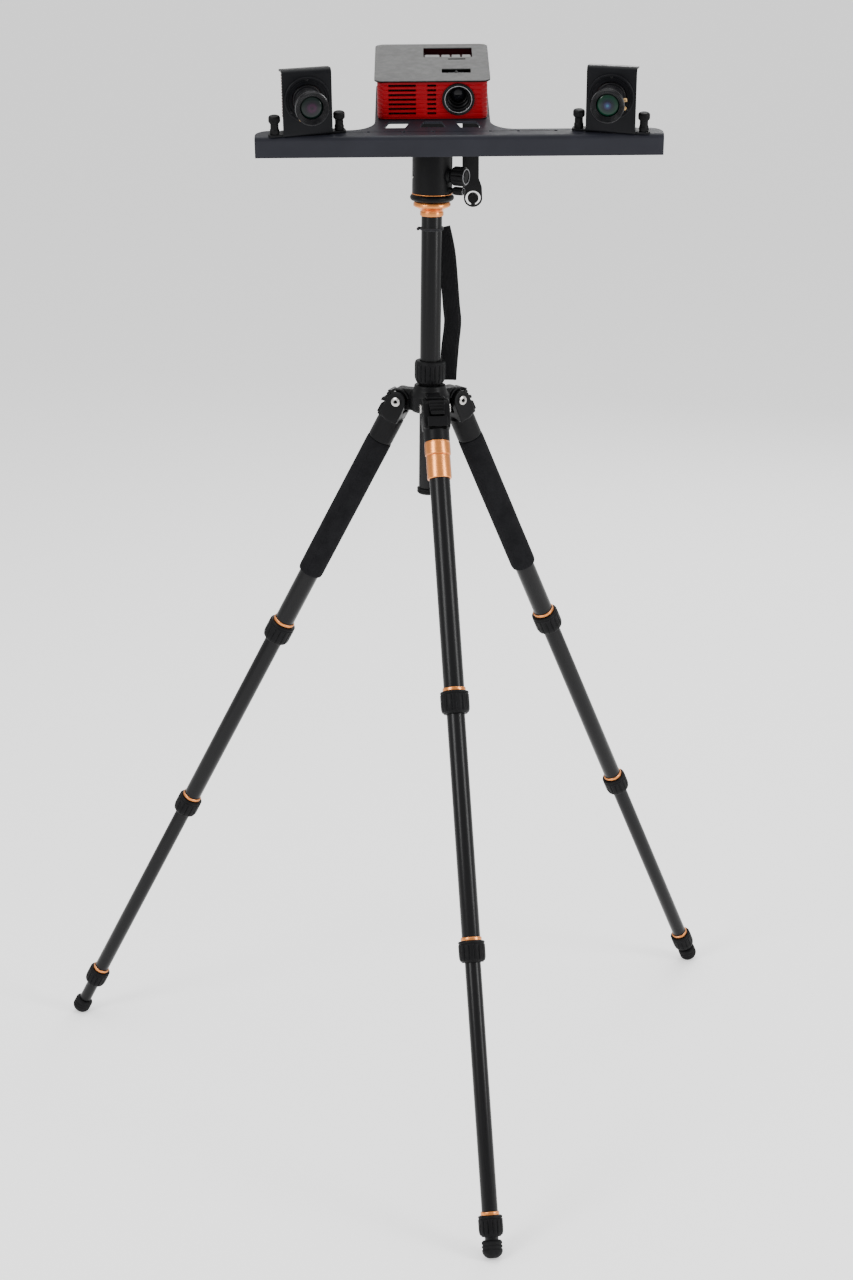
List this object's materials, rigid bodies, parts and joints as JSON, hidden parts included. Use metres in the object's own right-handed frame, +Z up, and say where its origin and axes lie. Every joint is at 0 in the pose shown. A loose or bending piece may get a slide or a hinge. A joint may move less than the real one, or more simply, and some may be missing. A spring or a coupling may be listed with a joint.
{
  "type": "tripod-mounted structured-light 3d scanner",
  "caption": "3D scanner head, a lens projector between toed-in cameras on a bent T-shaped plate, on a ball head and a folding tripod with telescoping twist-lock legs.",
  "frame": {"origin": "middle of the footprint's bounding box, on the floor", "axes": "+Z up, -Y out of the front of the scanner, +X to its left as seen from behind it (right as seen from in front)"},
  "size_m": [0.8866, 0.829, 1.3214],
  "materials": {
    "black_casting": "satin black powder coat on die-cast metal",
    "gloss_tube": "glossy black anodised tube",
    "lock_rubber": "matt ribbed rubber",
    "foot_rubber": "matt rubber",
    "foam": "closed-cell foam, fine pores",
    "copper_trim": "copper-gold anodised, satin",
    "ball_metal": "hard anodised ball",
    "slate_sheet": "dark blue-grey satin powder coat",
    "red_case": "satin red moulding",
    "grey_cover": "fine textured grey",
    "key_plastic": "satin grey keys",
    "optic_black": "black optics housing",
    "lens_black": "black anodised lens barrel",
    "webbing": "woven black webbing"
  },
  "bodies": {
    "hub": {"hub": "black_casting"},
    "leg_front": {"leg_front_bracket": "black_casting", "leg_front_tube_1": "gloss_tube", "monopod_coupling": "copper_trim"},
    "leg_front_stop_tab": {"leg_front_stop_tab": "black_casting"},
    "leg_front_lock_1": {"leg_front_lock_1": "lock_rubber"},
    "leg_front_section_2": {"leg_front_tube_2": "gloss_tube"},
    "leg_front_lock_2": {"leg_front_lock_2": "lock_rubber"},
    "leg_front_section_3": {"leg_front_tube_3": "gloss_tube"},
    "leg_front_lock_3": {"leg_front_lock_3": "lock_rubber"},
    "leg_front_section_4": {"leg_front_tube_4_and_foot": "foot_rubber"},
    "leg_right": {"leg_right_bracket": "black_casting", "leg_right_tube_1": "gloss_tube", "leg_right_foam_grip": "foam"},
    "leg_right_stop_tab": {"leg_right_stop_tab": "black_casting"},
    "leg_right_lock_1": {"leg_right_lock_1": "lock_rubber"},
    "leg_right_section_2": {"leg_right_tube_2": "gloss_tube"},
    "leg_right_lock_2": {"leg_right_lock_2": "lock_rubber"},
    "leg_right_section_3": {"leg_right_tube_3": "gloss_tube"},
    "leg_right_lock_3": {"leg_right_lock_3": "lock_rubber"},
    "leg_right_section_4": {"leg_right_tube_4_and_foot": "foot_rubber"},
    "leg_left": {"leg_left_bracket": "black_casting", "leg_left_tube_1": "gloss_tube", "leg_left_foam_grip": "foam"},
    "leg_left_stop_tab": {"leg_left_stop_tab": "black_casting"},
    "leg_left_lock_1": {"leg_left_lock_1": "lock_rubber"},
    "leg_left_section_2": {"leg_left_tube_2": "gloss_tube"},
    "leg_left_lock_2": {"leg_left_lock_2": "lock_rubber"},
    "leg_left_section_3": {"leg_left_tube_3": "gloss_tube"},
    "leg_left_lock_3": {"leg_left_lock_3": "lock_rubber"},
    "leg_left_section_4": {"leg_left_tube_4_and_foot": "foot_rubber"},
    "column": {"column": "gloss_tube", "head_base": "copper_trim", "wrist_strap": "webbing"},
    "column_lock": {"column_lock": "lock_rubber"},
    "ball_head": {"head_housing": "black_casting"},
    "ball_lock_knob": {"ball_lock_knob": "black_casting"},
    "pan_lock_knob": {"pan_lock_knob": "black_casting"},
    "ball": {"ball": "ball_metal"},
    "scanner": {"head_clamp": "black_casting", "t_plate": "slate_sheet", "cable_bracket": "black_casting", "projector_body": "red_case", "projector_cover": "grey_cover", "camera_bracket_left": "slate_sheet", "camera_body_left": "black_casting", "camera_bracket_right": "slate_sheet", "camera_body_right": "black_casting"},
    "focus_tab": {"focus_tab": "key_plastic"},
    "projector_lens": {"projector_lens": "optic_black"},
    "projector_key_1": {"projector_key_1": "key_plastic"},
    "projector_key_2": {"projector_key_2": "key_plastic"},
    "projector_key_3": {"projector_key_3": "key_plastic"},
    "projector_key_4": {"projector_key_4": "key_plastic"},
    "camera_lens_left": {"camera_lens_left": "lens_black"},
    "thumb_screw_left_outer": {"thumb_screw_left_outer": "black_casting"},
    "thumb_screw_left_inner": {"thumb_screw_left_inner": "black_casting"},
    "camera_lens_right": {"camera_lens_right": "lens_black"},
    "thumb_screw_right_outer": {"thumb_screw_right_outer": "black_casting"},
    "thumb_screw_right_inner": {"thumb_screw_right_inner": "black_casting"}
  },
  "joints": [
    {"name": "leg_front_fold", "type": "hinge", "parent": "hub", "child": "leg_front", "pos_m": [0.07965, 0.04005, 0.89879], "axis": [0.9867, 0.1601, -0.0289], "range_deg": [0, 26]},
    {"name": "leg_front_stop_tab_pull", "type": "slide", "parent": "leg_front", "child": "leg_front_stop_tab", "axis": [0.156, -0.881, 0.4467], "range_m": [0, 0.005], "stiffness_N_per_m": 300},
    {"name": "leg_front_lock_1_twist", "type": "hinge", "parent": "leg_front", "child": "leg_front_lock_1", "pos_m": [0.09613, -0.11935, 0.57865], "axis": [-0.046, 0.4452, 0.8942], "range_deg": [0, 120]},
    {"name": "leg_front_section_2_slide", "type": "slide", "parent": "leg_front", "child": "leg_front_section_2", "axis": [0.046, -0.4452, -0.8942], "range_m": [-0.265, 0]},
    {"name": "leg_front_lock_2_twist", "type": "hinge", "parent": "leg_front_section_2", "child": "leg_front_lock_2", "pos_m": [0.10971, -0.2507, 0.31486], "axis": [-0.046, 0.4452, 0.8942], "range_deg": [0, 120]},
    {"name": "leg_front_section_3_slide", "type": "slide", "parent": "leg_front_section_2", "child": "leg_front_section_3", "axis": [0.046, -0.4452, -0.8942], "range_m": [-0.285, 0]},
    {"name": "leg_front_lock_3_twist", "type": "hinge", "parent": "leg_front_section_3", "child": "leg_front_lock_3", "pos_m": [0.12416, -0.3905, 0.03407], "axis": [-0.046, 0.4452, 0.8942], "range_deg": [0, 120]},
    {"name": "leg_front_section_4_slide", "type": "slide", "parent": "leg_front_section_3", "child": "leg_front_section_4", "axis": [0.046, -0.4452, -0.8942], "range_m": [0, 0.26]},
    {"name": "leg_right_fold", "type": "hinge", "parent": "hub", "child": "leg_right", "pos_m": [0.10302, 0.10158, 0.89879], "axis": [-0.6316, 0.7748, 0.0289], "range_deg": [0, 26]},
    {"name": "leg_right_stop_tab_pull", "type": "slide", "parent": "leg_right", "child": "leg_right_stop_tab", "axis": [0.7016, 0.5552, 0.4467], "range_m": [0, 0.005], "stiffness_N_per_m": 300},
    {"name": "leg_right_lock_1_twist", "type": "hinge", "parent": "leg_right", "child": "leg_right_lock_1", "pos_m": [0.22117, 0.20984, 0.57865], "axis": [-0.33, -0.3024, 0.8942], "range_deg": [0, 120]},
    {"name": "leg_right_section_2_slide", "type": "slide", "parent": "leg_right", "child": "leg_right_section_2", "axis": [0.33, 0.3024, -0.8942], "range_m": [-0.265, 0]},
    {"name": "leg_right_lock_2_twist", "type": "hinge", "parent": "leg_right_section_2", "child": "leg_right_lock_2", "pos_m": [0.31853, 0.29905, 0.31486], "axis": [-0.33, -0.3024, 0.8942], "range_deg": [0, 120]},
    {"name": "leg_right_section_3_slide", "type": "slide", "parent": "leg_right_section_2", "child": "leg_right_section_3", "axis": [0.33, 0.3024, -0.8942], "range_m": [-0.285, 0]},
    {"name": "leg_right_lock_3_twist", "type": "hinge", "parent": "leg_right_section_3", "child": "leg_right_lock_3", "pos_m": [0.42216, 0.394, 0.03407], "axis": [-0.33, -0.3024, 0.8942], "range_deg": [0, 120]},
    {"name": "leg_right_section_4_slide", "type": "slide", "parent": "leg_right_section_3", "child": "leg_right_section_4", "axis": [0.33, 0.3024, -0.8942], "range_m": [0, 0.26]},
    {"name": "leg_left_fold", "type": "hinge", "parent": "hub", "child": "leg_left", "pos_m": [0.03808, 0.09105, 0.90069], "axis": [-0.3551, -0.9348, 0], "range_deg": [0, 26]},
    {"name": "leg_left_stop_tab_pull", "type": "slide", "parent": "leg_left", "child": "leg_left_stop_tab", "axis": [-0.8143, 0.3093, 0.4911], "range_m": [0, 0.005], "stiffness_N_per_m": 300},
    {"name": "leg_left_lock_1_twist", "type": "hinge", "parent": "leg_left", "child": "leg_left_lock_1", "pos_m": [-0.12627, 0.15348, 0.58883], "axis": [0.4591, -0.1744, 0.8711], "range_deg": [0, 120]},
    {"name": "leg_left_section_2_slide", "type": "slide", "parent": "leg_left", "child": "leg_left_section_2", "axis": [-0.4591, 0.1744, -0.8711], "range_m": [-0.265, 0]},
    {"name": "leg_left_lock_2_twist", "type": "hinge", "parent": "leg_left_section_2", "child": "leg_left_lock_2", "pos_m": [-0.26171, 0.20492, 0.33186], "axis": [0.4591, -0.1744, 0.8711], "range_deg": [0, 120]},
    {"name": "leg_left_section_3_slide", "type": "slide", "parent": "leg_left_section_2", "child": "leg_left_section_3", "axis": [-0.4591, 0.1744, -0.8711], "range_m": [-0.285, 0]},
    {"name": "leg_left_lock_3_twist", "type": "hinge", "parent": "leg_left_section_3", "child": "leg_left_lock_3", "pos_m": [-0.40586, 0.25968, 0.05833], "axis": [0.4591, -0.1744, 0.8711], "range_deg": [0, 120]},
    {"name": "leg_left_section_4_slide", "type": "slide", "parent": "leg_left_section_3", "child": "leg_left_section_4", "axis": [-0.4591, 0.1744, -0.8711], "range_m": [-0.028, 0.23]},
    {"name": "column_slide", "type": "slide", "parent": "hub", "child": "column", "axis": [0.0312, -0.0119, 0.9994], "range_m": [-0.15, 0.09], "deforming": ["wrist_strap"]},
    {"name": "column_lock_twist", "type": "hinge", "parent": "hub", "child": "column_lock", "pos_m": [0.07471, 0.07713, 0.9354], "axis": [0.0312, -0.0119, 0.9994], "range_deg": [0, 120]},
    {"name": "head_pan", "type": "hinge", "parent": "column", "child": "ball_head", "pos_m": [0.08123, 0.07465, 1.14428], "axis": [0.0312, -0.0119, 0.9994], "continuous": true},
    {"name": "ball_lock_knob_turn", "type": "hinge", "parent": "ball_head", "child": "ball_lock_knob", "pos_m": [0.11398, 0.05739, 1.17457], "axis": [0.8824, -0.4693, -0.0331], "range_deg": [0, 180]},
    {"name": "pan_lock_knob_turn", "type": "hinge", "parent": "ball_head", "child": "pan_lock_knob", "pos_m": [0.11344, 0.0576, 1.15708], "axis": [0.8824, -0.4693, -0.0331], "range_deg": [0, 180]},
    {"name": "head_tilt", "type": "hinge", "parent": "ball_head", "child": "ball", "pos_m": [0.08293, 0.07401, 1.19875], "axis": [0.9999, 0.0027, -0.0128], "range_deg": [-45, 20]},
    {"name": "head_roll", "type": "hinge", "parent": "ball", "child": "scanner", "pos_m": [0.08293, 0.07401, 1.19875], "axis": [0, 0.9792, 0.2028], "range_deg": [-22, 22]},
    {"name": "focus_tab_slide", "type": "slide", "parent": "scanner", "child": "focus_tab", "axis": [0.9999, 0.0027, -0.0128], "range_m": [-0.01, 0.01]},
    {"name": "projector_lens_focus", "type": "slide", "parent": "scanner", "child": "projector_lens", "axis": [0, -0.9792, -0.2028], "range_m": [-0.0013, 0.0013]},
    {"name": "projector_key_1_press", "type": "slide", "parent": "scanner", "child": "projector_key_1", "axis": [-0.0131, 0.2028, -0.9791], "range_m": [0, 0.0012], "stiffness_N_per_m": 500},
    {"name": "projector_key_2_press", "type": "slide", "parent": "scanner", "child": "projector_key_2", "axis": [-0.0131, 0.2028, -0.9791], "range_m": [0, 0.0012], "stiffness_N_per_m": 500},
    {"name": "projector_key_3_press", "type": "slide", "parent": "scanner", "child": "projector_key_3", "axis": [-0.0131, 0.2028, -0.9791], "range_m": [0, 0.0012], "stiffness_N_per_m": 500},
    {"name": "projector_key_4_press", "type": "slide", "parent": "scanner", "child": "projector_key_4", "axis": [-0.0131, 0.2028, -0.9791], "range_m": [0, 0.0012], "stiffness_N_per_m": 500},
    {"name": "camera_lens_left_focus", "type": "hinge", "parent": "scanner", "child": "camera_lens_left", "pos_m": [-0.05426, -0.06142, 1.27263], "axis": [0.1908, -0.9607, -0.2015], "range_deg": [-60, 60]},
    {"name": "thumb_screw_left_outer_turn", "type": "hinge", "parent": "scanner", "child": "thumb_screw_left_outer", "pos_m": [-0.09687, -0.03497, 1.25008], "axis": [0.0131, -0.2028, 0.9791], "continuous": true},
    {"name": "thumb_screw_left_inner_turn", "type": "hinge", "parent": "scanner", "child": "thumb_screw_left_inner", "pos_m": [-0.02345, -0.0208, 1.25203], "axis": [0.0131, -0.2028, 0.9791], "continuous": true},
    {"name": "camera_lens_right_focus", "type": "hinge", "parent": "scanner", "child": "camera_lens_right", "pos_m": [0.28268, -0.06053, 1.26831], "axis": [-0.1908, -0.9617, -0.1966], "range_deg": [-60, 60]},
    {"name": "thumb_screw_right_outer_turn", "type": "hinge", "parent": "scanner", "child": "thumb_screw_right_outer", "pos_m": [0.32456, -0.03385, 1.24468], "axis": [0.0131, -0.2028, 0.9791], "continuous": true},
    {"name": "thumb_screw_right_inner_turn", "type": "hinge", "parent": "scanner", "child": "thumb_screw_right_inner", "pos_m": [0.25114, -0.02007, 1.24851], "axis": [0.0131, -0.2028, 0.9791], "continuous": true}
  ],
  "couplings": [
    {"joint": "projector_lens_focus", "follows": "focus_tab_slide", "ratio": 0.12}
  ]
}
